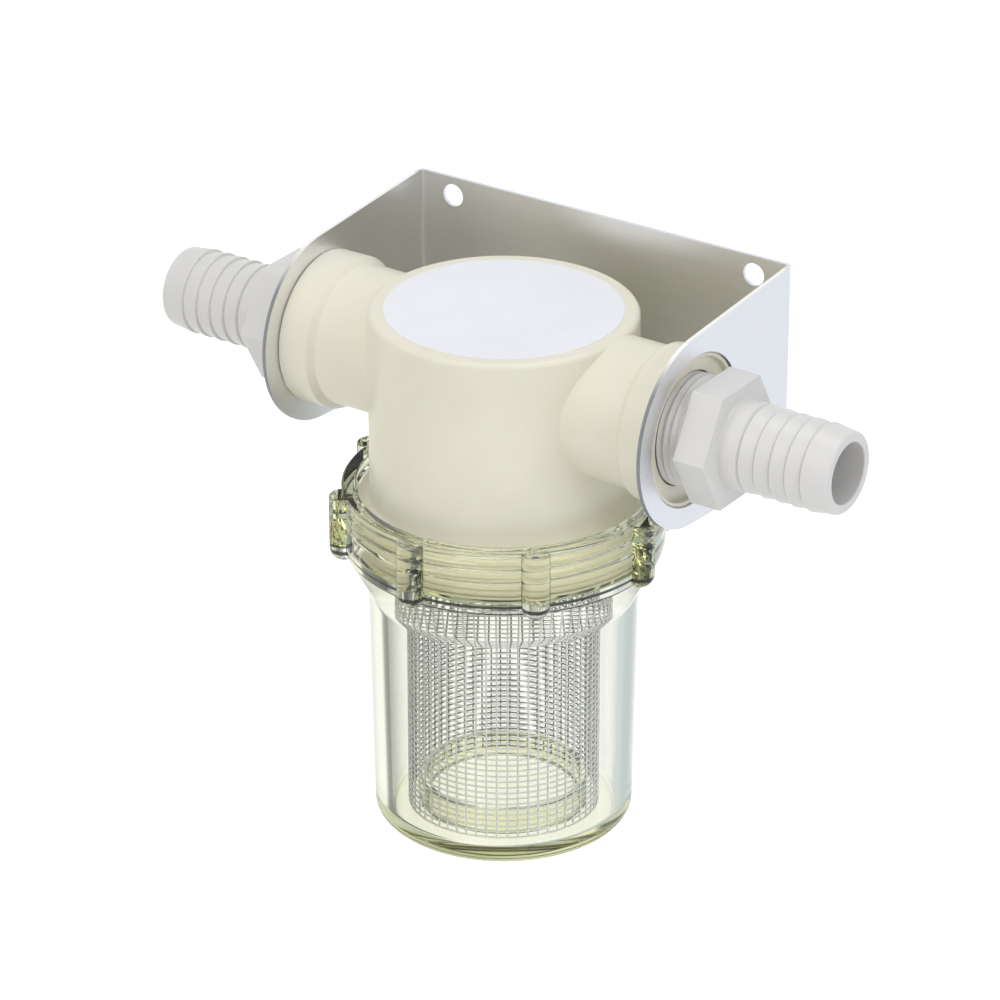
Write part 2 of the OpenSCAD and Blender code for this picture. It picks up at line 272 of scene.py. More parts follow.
def turned(name, profile, segments=192, thread=None):
    """Solid turned about Z. The profile starts and ends on the axis, or else it is a closed ring.

    Each row of points goes once round. The last face of a row meets the first point of its partner, which
    is the row itself on a plain side and the row one turn further on along a thread.
    """
    solid = profile[0][0] == 0 and profile[-1][0] == 0
    corners = profile[1:-1] if solid else profile
    radii, heights, partners = [], [], []
    for (r, z), (next_r, next_z) in zip(corners, corners[1:] + corners[:1]):
        partners.append([len(radii)])
        radii.append(np.full(segments, r))
        heights.append(np.full(segments, z))
        if thread and holds_thread(thread, r, z, next_r, next_z):
            radius, height, partner = thread_rows(thread, segments)
            if next_z < z:
                radius, height, partner = radius[::-1], height[::-1], len(partner) - 1 - partner[::-1]
            partners.append(list(len(radii) + partner))
            radii += list(radius)
            heights += list(height)
    seam = sum(partners, [])
    angle = 2 * math.pi * np.arange(segments) / segments
    radii, heights = np.array(radii), np.array(heights)
    verts = np.stack([radii * np.cos(angle), radii * np.sin(angle), heights], -1).reshape(-1, 3)
    count, last = len(radii), segments - 1
    faces = []
    for i in range(count - 1 if solid else count):
        k = (i + 1) % count
        a, b = i * segments, k * segments
        faces += [(a + j, a + j + 1, b + j + 1, b + j) for j in range(last)]
        faces.append((a + last, seam[i] * segments, seam[k] * segments, b + last))
    if solid:
        for height, first in ((profile[0][1], 0), (profile[-1][1], (count - 1) * segments)):
            pole = len(verts)
            verts = np.vstack([verts, (0, 0, height)])
            faces += [(pole, first + j, first + (j + 1) % segments) for j in range(segments)]
    return outwards(object_from(name, verts, faces))


def strip(sections):
    """Faces of a closed bar through sections with the same number of points, one after the other."""
    steps, count = len(sections) - 1, len(sections[0])
    faces = []
    for k in range(steps):
        a, b = k * count, (k + 1) * count
        faces += [(a + i, a + (i + 1) % count, b + (i + 1) % count, b + i) for i in range(count)]
    return faces + [tuple(range(count)), tuple(range(steps * count, (steps + 1) * count))]


def bar_through(name, sections):
    """Closed bar through sections of points, on the upright axis of the head."""
    verts = [point for section in sections for point in section]
    return to_head(outwards(object_from(name, verts, strip(sections))))


def applied(made):
    """The object with its modifiers turned into plain mesh."""
    evaluated = made.evaluated_get(bpy.context.evaluated_depsgraph_get())
    mesh = bpy.data.meshes.new_from_object(evaluated)
    made.modifiers.clear()
    made.data = mesh
    return made


def bevelled(made, width, segments):
    """Adds a bevel of a width in millimetres to the edges."""
    edge = made.modifiers.new("edge", "BEVEL")
    edge.width = width * MM
    edge.segments = segments
    return edge


def combined(made, operation, tools):
    """Joins tools to a solid, or cuts them out of it, and removes them."""
    for tool in tools:
        step = made.modifiers.new("combine", "BOOLEAN")
        step.operation = operation
        step.solver = "EXACT"
        step.object = tool
    applied(made)
    for tool in tools:
        bpy.data.objects.remove(tool)
    return made


def softened(made, angle=30, weighted=True):
    """Smooth shading with sharp edges kept where faces meet at more than the angle."""
    made.data.shade_smooth()
    made.data.set_sharp_from_angle(angle=math.radians(angle))
    if weighted:
        step = made.modifiers.new("weighted normals", "WEIGHTED_NORMAL")
        step.keep_sharp = True
        applied(made)
    return made


# ---------------------------------------------------------------- node helpers

FLOAT, COLOUR, VECTOR = "NodeSocketFloat", "NodeSocketColor", "NodeSocketVector"
WHOLE, FINISH, SHAPE = "NodeSocketInt", "NodeSocketMaterial", "NodeSocketGeometry"


def node(tree, kind, inputs=None, **settings):
    """Adds a node. Its inputs are given by name or number, as values or as sockets of other nodes."""
    made = tree.nodes.new(kind)
    for key, value in settings.items():
        setattr(made, key, value)
    for key, value in (inputs or {}).items():
        if isinstance(value, bpy.types.NodeSocket):
            tree.links.new(value, made.inputs[key])
        else:
            made.inputs[key].default_value = value
    return made


def maths(tree, operation, *values):
    return node(tree, "ShaderNodeMath", dict(enumerate(values)), operation=operation).outputs[0]


def times(tree, value, *others):
    """Product of several values."""
    for other in others:
        value = maths(tree, "MULTIPLY", value, other)
    return value


def vector_maths(tree, operation, *values):
    return node(tree, "ShaderNodeVectorMath", dict(enumerate(values)), operation=operation).outputs


def split(tree, vector):
    """The X, Y and Z of a vector."""
    return node(tree, "ShaderNodeSeparateXYZ", {0: vector}).outputs


def share(tree, value, start, end, kind="LINEAR"):
    """How far a value has come from start to end, between nought and one."""
    return node(tree, "ShaderNodeMapRange", {
        "Value": value, "From Min": start, "From Max": end}, interpolation_type=kind).outputs["Result"]


def step_between(tree, value, start, end):
    """Smooth step from nought to one between two places in millimetres."""
    return share(tree, value, start * MM, end * MM, "SMOOTHSTEP")


def blend(tree, amount, first, second):
    """Mixes two colours: the first where the amount is nought, the second where it is one."""
    return node(tree, "ShaderNodeMix", {0: amount, 6: first, 7: second}, data_type="RGBA").outputs[2]


def paint(shade):
    """Linear colour of a shade written as six hexadecimal digits."""
    linear = []
    for i in (0, 2, 4):
        c = int(shade[i:i + 2], 16) / 255
        linear.append(c / 12.92 if c <= 0.04045 else ((c + 0.055) / 1.055) ** 2.4)
    return (*linear, 1)


def layered(tree, tone, *layers):
    """The tone with shades laid over it in turn, each by its own amount."""
    for amount, shade in layers:
        tone = blend(tree, amount, tone, paint(shade))
    return tone


def group(name, kind, inputs, outputs):
    """An empty node group with its input and output nodes."""
    tree = bpy.data.node_groups.new(name, kind)
    for label, (socket, value) in inputs.items():
        made = tree.interface.new_socket(label, in_out="INPUT", socket_type=socket)
        if value is not None:
            made.default_value = value
    for label, socket in outputs.items():
        tree.interface.new_socket(label, in_out="OUTPUT", socket_type=socket)
    return tree, tree.nodes.new("NodeGroupInput").outputs, tree.nodes.new("NodeGroupOutput").inputs


def object_place(tree):
    """The place in the part, in metres, whatever the pose."""
    return node(tree, "ShaderNodeTexCoord").outputs["Object"]


def surface_normal(tree):
    return node(tree, "ShaderNodeNewGeometry").outputs["Normal"]


def from_axis(tree):
    """The place in the part, measured from the upright axis of head and bowl."""
    return vector_maths(tree, "SUBTRACT", object_place(tree), (0, AXIS_Y * MM, 0))[0]


def varied(tree, middle, noise, amount):
    """A middle value, moved up and down by a noise between nought and one."""
    return maths(tree, "MULTIPLY_ADD", maths(tree, "SUBTRACT", noise, 0.5), amount, middle)


# ---------------------------------------------------------------- materials

def moulded_skin():
    """Faint flow marks and a fine etched grain, for moulded plastic."""
    tree, given, out = group(
        "moulded skin", "ShaderNodeTree",
        {"Colour": (COLOUR, (0.8, 0.8, 0.8, 1)), "Shade": (COLOUR, (0.7, 0.7, 0.7, 1)),
         "Roughness": (FLOAT, 0.35), "Variation": (FLOAT, 0.08), "Grain size": (FLOAT, 900.0),
         "Grain height": (FLOAT, 0.05)},
        {"Colour": COLOUR, "Roughness": FLOAT, "Normal": VECTOR})
    place = object_place(tree)
    flow = node(tree, "ShaderNodeTexNoise", {
        "Vector": place, "Scale": 38.0, "Detail": 3.0, "Roughness": 0.6}).outputs["Fac"]
    fine = node(tree, "ShaderNodeTexNoise", {
        "Vector": place, "Scale": given["Grain size"], "Detail": 2.0}).outputs["Fac"]
    bump = node(tree, "ShaderNodeBump", {
        "Height": fine, "Strength": given["Grain height"], "Distance": 0.2 * MM})
    patch = share(tree, flow, 0.35, 0.7)
    tree.links.new(blend(tree, patch, given["Colour"], given["Shade"]), out["Colour"])
    tree.links.new(varied(tree, given["Roughness"], flow, given["Variation"]), out["Roughness"])
    tree.links.new(bump.outputs["Normal"], out["Normal"])
    return tree


def drawn_grain():
    """Fine parallel lines of rolled or drawn metal, along X and Y."""
    tree, given, out = group(
        "drawn grain", "ShaderNodeTree",
        {"Roughness": (FLOAT, 0.3), "Variation": (FLOAT, 0.1), "Line pitch": (FLOAT, 1400.0),
         "Depth": (FLOAT, 0.1)},
        {"Streak": FLOAT, "Roughness": FLOAT, "Normal": VECTOR})
    place = object_place(tree)
    stretched = node(tree, "ShaderNodeMapping", {"Vector": place, "Scale": (0.012, 0.012, 1.0)})
    lines = node(tree, "ShaderNodeTexNoise", {
        "Vector": stretched.outputs[0], "Scale": given["Line pitch"], "Detail": 3.0,
        "Roughness": 0.7}).outputs["Fac"]
    cloud = node(tree, "ShaderNodeTexNoise", {"Vector": place, "Scale": 30.0, "Detail": 4.0}).outputs["Fac"]
    rough = varied(tree, varied(tree, given["Roughness"], cloud, given["Variation"]), lines, 0.12)
    bump = node(tree, "ShaderNodeBump", {"Height": lines, "Strength": given["Depth"], "Distance": 0.1 * MM})
    tree.links.new(lines, out["Streak"])
    tree.links.new(rough, out["Roughness"])
    tree.links.new(bump.outputs["Normal"], out["Normal"])
    return tree


MOULDED = moulded_skin()
DRAWN = drawn_grain()


def material(name):
    made = bpy.data.materials.new(name)
    made.use_nodes = True
    tree = made.node_tree
    return made, tree, tree.nodes["Principled BSDF"]


def fill(sockets, values):
    """Sets inputs by name."""
    for name, value in values.items():
        sockets[name].default_value = value


def link_skin(tree, shader, skin, *names):
    """Takes outputs of a skin group to the shader's inputs of the same name."""
    for name in names:
        tree.links.new(skin.outputs[name], shader.inputs[name])


def plastic(name, colour, shade, roughness, coat=0.0, scatter=0.0, grain=0.05, variation=0.08):
    """Opaque moulded plastic with a soft shine."""
    made, tree, shader = material(name)
    skin = node(tree, "ShaderNodeGroup", node_tree=MOULDED)
    fill(skin.inputs, {"Colour": paint(colour), "Shade": paint(shade), "Roughness": roughness,
                       "Variation": variation, "Grain height": grain})
    tree.links.new(skin.outputs["Colour"], shader.inputs["Base Color"])
    link_skin(tree, shader, skin, "Roughness", "Normal")
    fill(shader.inputs, {
        "IOR": 1.5, "Coat Weight": coat, "Coat Roughness": 0.15, "Subsurface Weight": scatter,
        "Subsurface Radius": (1.0, 0.9, 0.7), "Subsurface Scale": 1.2 * MM})
    return made


def metal(name, dull, bright, metallic, grain_settings):
    """Metal with drawn lines between a dull and a bright shade. The caller links the tone it returns."""
    made, tree, shader = material(name)
    grain = node(tree, "ShaderNodeGroup", node_tree=DRAWN)
    fill(grain.inputs, grain_settings)
    link_skin(tree, shader, grain, "Roughness", "Normal")
    shader.inputs["Metallic"].default_value = metallic
    return made, tree, shader, blend(tree, grain.outputs["Streak"], paint(dull), paint(bright))


# Y that parts the wall plate and its folds from the ears, and the painted shades of their cut edges: the
# ears' forward edges darker, as if they mirrored a darker room, and the plate's lamp-lit upper edge toned
# down
EARS_FROM = -4
EAR_EDGE_PAINTED_SHADE, PLATE_EDGE_PAINTED_SHADE = "9297A8", "DADCE6"

# Painted shade of the wires inside the tube, where less light comes in through the weave
WIRE_INSIDE_PAINTED_SHADE = "9A9A96"

# Clear plastic: body colour with its density, tints of collar, floor and ring wall, painted shade for its
# dark edges, which stands in for the dark lines that refraction shows, and the share of the lamps' light
# that goes straight through
BODY, BODY_DENSITY = "EEEFB4", 11.0
COLLAR_TINT, FLOOR_TINT, RING_TINT, PAINTED_DARK_EDGE = "FAFAEC", "FCFCEE", "F3F4D8", "0C0E10"
LAMPLIGHT_THROUGH = 0.88


def painted_ear_edge_shade(tree):
    """Where the painted shade goes: one on the cut edges of the ears that face forwards and down, nought on
    the faces of the sheet.
    """
    side, _, up = split(tree, surface_normal(tree))
    thin = maths(tree, "LESS_THAN", maths(tree, "ABSOLUTE", side), 0.5)
    ahead = maths(tree, "LESS_THAN", split(tree, object_place(tree))[1], EARS_FROM * MM)
    return times(tree, thin, ahead, share(tree, up, 0.97, 0.65))


def painted_plate_edge_shade(tree):
    """Where the painted shade goes: one on the upper cut edge of the wall plate, which the top lamp lights.
    """
    upwards = maths(tree, "GREATER_THAN", split(tree, surface_normal(tree))[2], 0.7)
    behind = maths(tree, "GREATER_THAN", split(tree, object_place(tree))[1], EARS_FROM * MM)
    return times(tree, upwards, behind)


def satin_steel():
    made, tree, shader, tone = metal(
        "satin stainless sheet", "E9E9EA", "F4F4F5", 1.0, {"Roughness": 0.36, "Depth": 0.06})
    # Painted shade: darker forward edges on the ears, and a toned-down lamp-lit upper edge on the plate
    tone = layered(tree, tone, (painted_ear_edge_shade(tree), EAR_EDGE_PAINTED_SHADE), (painted_plate_edge_shade(tree), PLATE_EDGE_PAINTED_SHADE))
    tree.links.new(tone, shader.inputs["Base Color"])
    return made


def painted_inside_shade_mask(tree):
    """Where the wire's painted shade goes: one where a surface faces the upright axis of the head, nought
    where it faces away from it.

    The normal is the world's, so this is exact while the head hangs upright and not once it swivels.
    """
    flat = vector_maths(tree, "MULTIPLY", from_axis(tree), (1, 1, 0))[0]
    radial = vector_maths(tree, "NORMALIZE", flat)[0]
    side = vector_maths(tree, "DOT_PRODUCT", radial, surface_normal(tree))["Value"]
    return share(tree, side, 0.15, -0.35)


def wire_steel():
    """Woven wire with painted shade on the inside of the tube, which gets its light through the weave."""
    made, tree, shader, tone = metal(
        "woven stainless wire", "E6E6E8", "F0F0F2", 0.15, {"Roughness": 0.34, "Line pitch": 2600.0})
    # Painted shade on the inside of the tube
    tree.links.new(layered(tree, tone, (painted_inside_shade_mask(tree), WIRE_INSIDE_PAINTED_SHADE)), shader.inputs["Base Color"])
    return made


def band(tree, value, rise, fall):
    """One between two soft ends, each given as the places in millimetres where it is nought and one."""
    return times(tree, step_between(tree, value, *rise), step_between(tree, value, *fall))


def painted_dark_edges(tree, radius, height):
    """Painted dark lines in place of the shade that refraction shows: one along the collar's lower edge and
    the step below it, and where a lug's outline turns away.
    """
    foot, step = BOWL_COLLAR_FOOT, STEP_FOOT
    foot_line = band(tree, height, (foot - 1.15, foot - 0.85), (foot + 0.5, foot + 0.25))
    step_line = band(tree, height, (step - 0.75, step - 0.5), (step + 0.15, step - 0.05))
    outside = step_between(tree, radius, STEP_R - 0.8, STEP_R - 0.6)
    lines = times(tree, maths(tree, "MAXIMUM", foot_line, step_line), outside)
    facing = node(tree, "ShaderNodeLayerWeight", {"Blend": 0.5}).outputs["Facing"]
    turned_away = share(tree, facing, 0.6, 0.85, "SMOOTHSTEP")
    on_lugs = step_between(tree, radius, BOWL_COLLAR_R + 0.3, BOWL_COLLAR_R + 0.6)
    return maths(tree, "MAXIMUM", lines, times(tree, on_lugs, turned_away))


def clear_plastic():
    """Clear moulding with a faint yellow-green body colour, and dark lines painted along its collar's foot,
    its step and the lugs' outlines in place of the shade that refraction shows. Lamps reach through it to
    what is inside.
    """
    made, tree, shader = material("clear bowl plastic")
    skin = node(tree, "ShaderNodeGroup", node_tree=MOULDED)
    fill(skin.inputs, {"Colour": (1, 1, 1, 1), "Shade": (0.985, 0.99, 0.97, 1), "Roughness": 0.012,
                       "Variation": 0.01})
    link_skin(tree, shader, skin, "Roughness")
    across, along, height = split(tree, from_axis(tree))
    radius = maths(tree, "SQRT", maths(tree, "ADD", times(tree, across, across), times(tree, along, along)))
    collar = step_between(tree, height, BOWL_COLLAR_FOOT - 2, BOWL_COLLAR_FOOT + 1)
    floor = step_between(tree, height, FLOOR + 0.6, FLOOR + 0.1)
    ring_wall = times(tree, step_between(tree, radius, RING_R + 0.8, RING_R + 0.3),
                      step_between(tree, height, FLOOR + 0.1, FLOOR + 0.4))
    # The last layer is painted shade: dark lines in place of those that refraction shows
    tone = layered(tree, skin.outputs["Colour"], (collar, COLLAR_TINT), (floor, FLOOR_TINT),
                   (ring_wall, RING_TINT), (painted_dark_edges(tree, radius, height), PAINTED_DARK_EDGE))
    tree.links.new(tone, shader.inputs["Base Color"])
    fill(shader.inputs, {"IOR": 1.54, "Transmission Weight": 1.0})
    shadow = node(tree, "ShaderNodeLightPath").outputs["Is Shadow Ray"]
    tree.links.new(maths(tree, "MULTIPLY_ADD", shadow, -LAMPLIGHT_THROUGH, 1.0), shader.inputs["Alpha"])
    tint = node(tree, "ShaderNodeVolumeAbsorption", {"Color": paint(BODY), "Density": BODY_DENSITY})
    tree.links.new(tint.outputs[0], tree.nodes["Material Output"].inputs["Volume"])
    return made


IVORY = plastic("ivory moulded plastic", "E9E6D6", "E4E1CF", 0.36, coat=0.15, scatter=0.05)
NYLON = plastic("white nylon", "DEDDDC", "D8D7D6", 0.34, coat=0.1, scatter=0.08, grain=0.08)
FILM = plastic("plain white film", "EEF0F6", "EAECF3", 0.3, grain=0.02, variation=0.04)
RUBBER = plastic("translucent white rubber", "D9D6C6", "CFCBB8", 0.5, scatter=0.2, grain=0.12)
SATIN_STEEL = satin_steel()
WIRE_STEEL = wire_steel()
CLEAR = clear_plastic()


def finished(piece, finish, body, replaced):
    """Gives a piece its material and its body, and hides the node that it stands for."""
    piece.data.materials.clear()
    piece.data.materials.append(finish)
    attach(piece, body)
    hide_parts(replaced)
    return piece


# ---------------------------------------------------------------- bracket

# Lengths along the flat sheet: half the plate, then the fold, then the ear up to the middle of its hole
FLAT_HALF = EAR_X - FOLD_R
FOLD_LENGTH = FOLD_R * math.pi / 2
EAR_START = FLAT_HALF + FOLD_LENGTH
EAR_SPAN = -AXIS_Y - FOLD_R
EAR_CENTRE = EAR_START + EAR_SPAN


def flat_outline():
    """Outline of the flat sheet: the plate, and on both sides an ear that narrows to a round end."""
    to_corner = math.atan2(PLATE_H / 2, -EAR_SPAN)
    tangent = to_corner - math.acos(EAR_R / math.hypot(EAR_SPAN, PLATE_H / 2))
    right = [(EAR_START, -PLATE_H / 2)]
    right += ring((EAR_CENTRE, 0), EAR_R, 65, -tangent, 2 * tangent)
    right += [(EAR_START, PLATE_H / 2)]
    return right + [(-u, z) for u, z in reversed(right)]


def flat_sheet():
    """The sheet with its holes, flat in the plane of X and Z."""
    holes = [ring((side * EAR_CENTRE, 0), EAR_HOLE_R, 128) for side in (-1, 1)]
    holes += [ring((x * BOLT_X, z * BOLT_Z), BOLT_R, 40) for x in (-1, 1) for z in (-1, 1)]
    shape = bmesh.new()
    for loop in [flat_outline()] + holes:
        points = [shape.verts.new((u, 0, z)) for u, z in loop]
        for a, b in zip(points, points[1:] + points[:1]):
            shape.edges.new((a, b))
    bmesh.ops.triangle_fill(shape, use_beauty=True, edges=shape.edges[:])
    return shape


def fold(shape, cuts=10):
    """Cuts both bends into strips and folds the ears forwards."""
    for side in (-1, 1):
        for k in range(cuts + 1):
            u = side * (FLAT_HALF + FOLD_LENGTH * k / cuts)
            bmesh.ops.bisect_plane(
                shape, geom=shape.verts[:] + shape.edges[:] + shape.faces[:], dist=1e-5,
                plane_co=(u, 0, 0), plane_no=(1, 0, 0))
    for v in shape.verts:
        u, side = abs(v.co.x), math.copysign(1, v.co.x)
        if u > FLAT_HALF:
            turn = min((u - FLAT_HALF) / FOLD_R, math.pi / 2)
            past = max(u - EAR_START, 0)
            v.co.x = side * (FLAT_HALF + FOLD_R * math.sin(turn))
            v.co.y = -FOLD_R * (1 - math.cos(turn)) - past


def folded_bracket():
    """One sheet, cut flat with its holes, folded twice and then given its thickness."""
    shape = flat_sheet()
    fold(shape)
    for face in shape.faces:
        face.normal_update()
    bmesh.ops.recalc_face_normals(shape, faces=shape.faces)
    bmesh.ops.scale(shape, vec=(MM, MM, MM), verts=shape.verts)
    # The plate's normal points to the wall, so that the thickness goes forwards from its rear face
    plate = max(shape.faces, key=lambda f: f.calc_area() if abs(f.normal.y) > 0.9 else 0)
    if plate.normal.y < 0:
        bmesh.ops.reverse_faces(shape, faces=shape.faces)
    mesh = bpy.data.meshes.new("folded_bracket")
    shape.to_mesh(mesh)
    shape.free()
    made = linked("folded_bracket", mesh)
    wall = made.modifiers.new("sheet", "SOLIDIFY")
    wall.thickness = SHEET_T * MM
    wall.offset = -1
    wall.use_even_offset = True
    edge = bevelled(made, SHEET_EDGE, 2)
    edge.limit_method = "ANGLE"
    edge.angle_limit = math.radians(50)
    applied(made)
    return softened(outwards(made), 35)


finished(folded_bracket(), SATIN_STEEL, "wall_bracket", "bracket")


# ---------------------------------------------------------------- head

def skirt_and_crown():
    """The turned body of the head, with its thread, seal groove, settling ring, socket and well."""
    socket_out = SOCKET_R + SOCKET_WALL
    annulus_top = GALLERY_LOW + 1
    profile = rounded([
        (0, HEAD_TOP, 0), (HEAD_R, HEAD_TOP, 1.6), (HEAD_R, SKIRT_TOP, 0.5), (SKIRT_R, SKIRT_TOP - 1.1, 0.3),
        (SKIRT_R, GROOVE_HIGH, 0.15), (GROOVE_R, GROOVE_HIGH, 0), (GROOVE_R, GROOVE_LOW, 0),
        (SKIRT_R, GROOVE_LOW, 0.15), (SKIRT_R, SKIRT_FOOT, 0.4), (CHAMBER_R, SKIRT_FOOT, 0.3),
        (CHAMBER_R, annulus_top, 0), (socket_out, annulus_top, 0), (socket_out, SKIRT_FOOT, 0.3),
        (SOCKET_R, SKIRT_FOOT, 0.3), (SOCKET_R, SOCKET_TOP, 0), (WELL_R, SOCKET_TOP, 0.4),
        (WELL_R, WELL_TOP, 0), (0, WELL_TOP, 0)])
    thread = Thread(SKIRT_R, GROOVE_HIGH + 0.6, SKIRT_TOP - 1.5, BOWL_PITCH, BOWL_THREAD_FADE, BOWL_THREAD)
    return turned("moulded_head", profile, 256, thread)


def neck(side):
    """One neck with its collar, its shoulder and the thin spigot that turns in the ear."""
    profile = rounded([
        (0, NECK_START, 0), (NECK_R, NECK_START, 0), (NECK_R, COLLAR_X - COLLAR_TAPER, 0.5),
        (COLLAR_R, COLLAR_X, 0.5), (COLLAR_R, SHOULDER_X, 0.3), (SPIGOT_R, SHOULDER_X, 0),
        (SPIGOT_R, SPIGOT_X, 0.2), (SPIGOT_R - SPIGOT_WALL, SPIGOT_X, 0.2),
        (SPIGOT_R - SPIGOT_WALL, PORT_FACE, 0), (0, PORT_FACE, 0)])
    return to_ports(turned("neck", profile, 192), side)


def crease_fillet(side, steps=128, arc_steps=6, run_out=0.6, least=0.1, overlap=0.35, dip=0.02, depth=1.5):
    """Closed strip in the crease between a neck and the head, as a ball rolled round it would leave.

    The ball shrinks to its least share at both ends of the strip, where the crease runs out into the top of
    the head. The strip overlaps both walls a little, dips just under them and reaches into the plastic.
    """
    sections = []
    high = math.radians(CREASE_END)
    low = -math.pi - high
    for k in range(steps + 1):
        t = low + (high - low) * k / steps
        r = CREASE_BALL * min(1, least + min(t - low, high - t) / run_out)
        y, z = (NECK_R + r) * math.cos(t), (NECK_R + r) * math.sin(t)
        centre = Vector((math.sqrt((HEAD_R + r) ** 2 - y * y), y, z))
        on_head = Vector((centre.x * HEAD_R / (HEAD_R + r), y * HEAD_R / (HEAD_R + r), z))
        on_neck = Vector((centre.x, y * NECK_R / (NECK_R + r), z * NECK_R / (NECK_R + r)))
        first, final = on_head - centre, on_neck - centre
        arc = [centre + first.slerp(final, i / arc_steps) for i in range(arc_steps + 1)]
        laps = []
        for here, there in ((first, final), (final, first)):
            inwards = here.normalized()
            along = (there - inwards * there.dot(inwards)).normalized()
            laps.append(centre + here - along * overlap + inwards * dip)
        deep = (on_head + on_neck) / 2 + (on_head + on_neck - 2 * centre).normalized() * depth
        sections.append([(side * v.x, v.y, v.z) for v in [laps[0], *arc, laps[1], deep]])
    return bar_through("crease_fillet", sections)


def plain_bar(name, radius, start, end, side):
    profile = [(0, start), (radius, start), (radius, end), (0, end)]
    return to_ports(turned(name, profile, 96), side)


def inlet_gallery(steps=24):
    """The curved water way on the inlet side, above the settling ring."""
    inner, outer = WELL_R + SOCKET_WALL, CHAMBER_R - 0.5
    sections = []
    for k in range(steps + 1):
        a = math.pi - math.radians(GALLERY_DEGREES / 2) + math.radians(GALLERY_DEGREES) * k / steps
        sections.append([(r * math.cos(a), r * math.sin(a), z) for r, z in (
            (inner, GALLERY_LOW), (outer, GALLERY_LOW), (outer, WELL_TOP), (inner, WELL_TOP))])
    return bar_through("gallery", sections)


def moulded_head():
    body = to_head(skirt_and_crown())
    combined(body, "UNION", [neck(1), neck(-1)])
    combined(body, "UNION", [crease_fillet(1), crease_fillet(-1)])
    # The outlet's way starts inside the well, the inlet's in the middle of the gallery
    way_from = {1: 5, -1: (WELL_R + SOCKET_WALL + CHAMBER_R) / 2}
    ports = [plain_bar("port", PORT_R, PORT_END, PORT_FACE + 1, side) for side in (1, -1)]
    ways = [plain_bar("way", WAY_R, way_from[side], PORT_END + 1, side) for side in (1, -1)]
    combined(body, "DIFFERENCE", ports + ways + [inlet_gallery()])
    return softened(body, 32)


finished(moulded_head(), IVORY, "strainer_head", "head")


# ---------------------------------------------------------------- label

def label_film():
    radius = (LABEL_HIGH.y - LABEL_LOW.y) / 2
    profile = rounded([(0, LABEL_LOW.z, 0), (radius, LABEL_LOW.z, 0), (radius, LABEL_HIGH.z, 0.08),
                       (0, LABEL_HIGH.z, 0)], 3)
    return softened(to_head(turned("label_film", profile, 192)), 35)


finished(label_film(), FILM, "strainer_head", "label_disc")


# ---------------------------------------------------------------- hose fittings

def hexagon():
    """Six-sided nut body with its edges just broken. Two corners point along Y."""
    corners = [(HEX_R * math.cos(math.pi / 3 * k), HEX_R * math.sin(math.pi / 3 * k)) for k in range(6)]
    verts = [(*corner, x) for x in (HEX_X, HEX_END) for corner in corners]
    sides = [(k, (k + 1) % 6, 6 + (k + 1) % 6, 6 + k) for k in range(6)]
    made = object_from("hexagon", verts, [tuple(range(6)), tuple(range(6, 12))] + sides)
    outwards(moved(made, Matrix.Rotation(math.pi / 2, 4, "Z")))
    bevelled(made, HEX_EDGE, 3)
    return applied(made)


def hose_fitting(name, side):
    """Pipe thread, hexagon with a low ridge round its outer end, and barbs for the hose."""
    corners = [
        (BORE_R, FITTING_LOW.x, 0.3), (THREAD_R - THREAD_BEVEL, FITTING_LOW.x, 0),
        (THREAD_R, FITTING_LOW.x + THREAD_BEVEL, 0), (THREAD_R, HEX_X + 1, 0), (BARB_R, HEX_X + 3, 0),
        (BARB_R, HEX_END - 1, 0), (RIDGE_R, HEX_END - 0.6, 0), (RIDGE_R, HEX_END, 0),
        (BARB_R + 0.35, HEX_END + 0.35, 0), (BARB_R, HEX_END + 1.2, 0), (BARB_R, FIRST_BARB - 0.9, 0.4)]
    for k in range(BARBS):
        x = FIRST_BARB + k * BARB_PITCH
        corners += [(BARB_ROOT_R, x - 0.3, 0.2), (BARB_GROOVE_R, x, 0.12), (BARB_R, x + 0.3, 0.5)]
    corners += [(BARB_ROOT_R, FIRST_BARB + BARBS * BARB_PITCH, 0.5), (NOSE_R, FITTING_HIGH.x, 1.2),
                (BORE_R, FITTING_HIGH.x, 0.5)]
    thread = Thread(THREAD_R, FITTING_LOW.x + 1.05, HEX_X + 0.4, PIPE_PITCH, 0.5, PIPE_THREAD)
    body = turned(name, rounded(corners, 4), 160, thread)
    combined(body, "UNION", [hexagon()])
    return softened(to_ports(body, side), 28)


finished(hose_fitting("inlet_hose_fitting", -1), NYLON, "strainer_head", "inlet_fitting")
finished(hose_fitting("outlet_hose_fitting", 1), NYLON, "strainer_head", "outlet_fitting")


# ---------------------------------------------------------------- seal

def round_seal():
    section = (SEAL_HIGH.z - SEAL_LOW.z) / 2
    middle = ((SEAL_HIGH.y - SEAL_LOW.y) / 2 - section, (SEAL_HIGH.z + SEAL_LOW.z) / 2)
    return softened(to_head(turned("round_seal", ring(middle, section, 20), 192)), 60)


finished(round_seal(), RUBBER, "strainer_head", "bowl_seal")


# ---------------------------------------------------------------- screen

def put_out(tree, geometry, finish, out):
    """Makes copies real, gives them their material and takes them to the group's output."""
    real = node(tree, "GeometryNodeRealizeInstances", {0: geometry})
    painted = node(tree, "GeometryNodeSetMaterial", {"Geometry": real.outputs[0], "Material": finish})
    tree.links.new(painted.outputs[0], out["Geometry"])


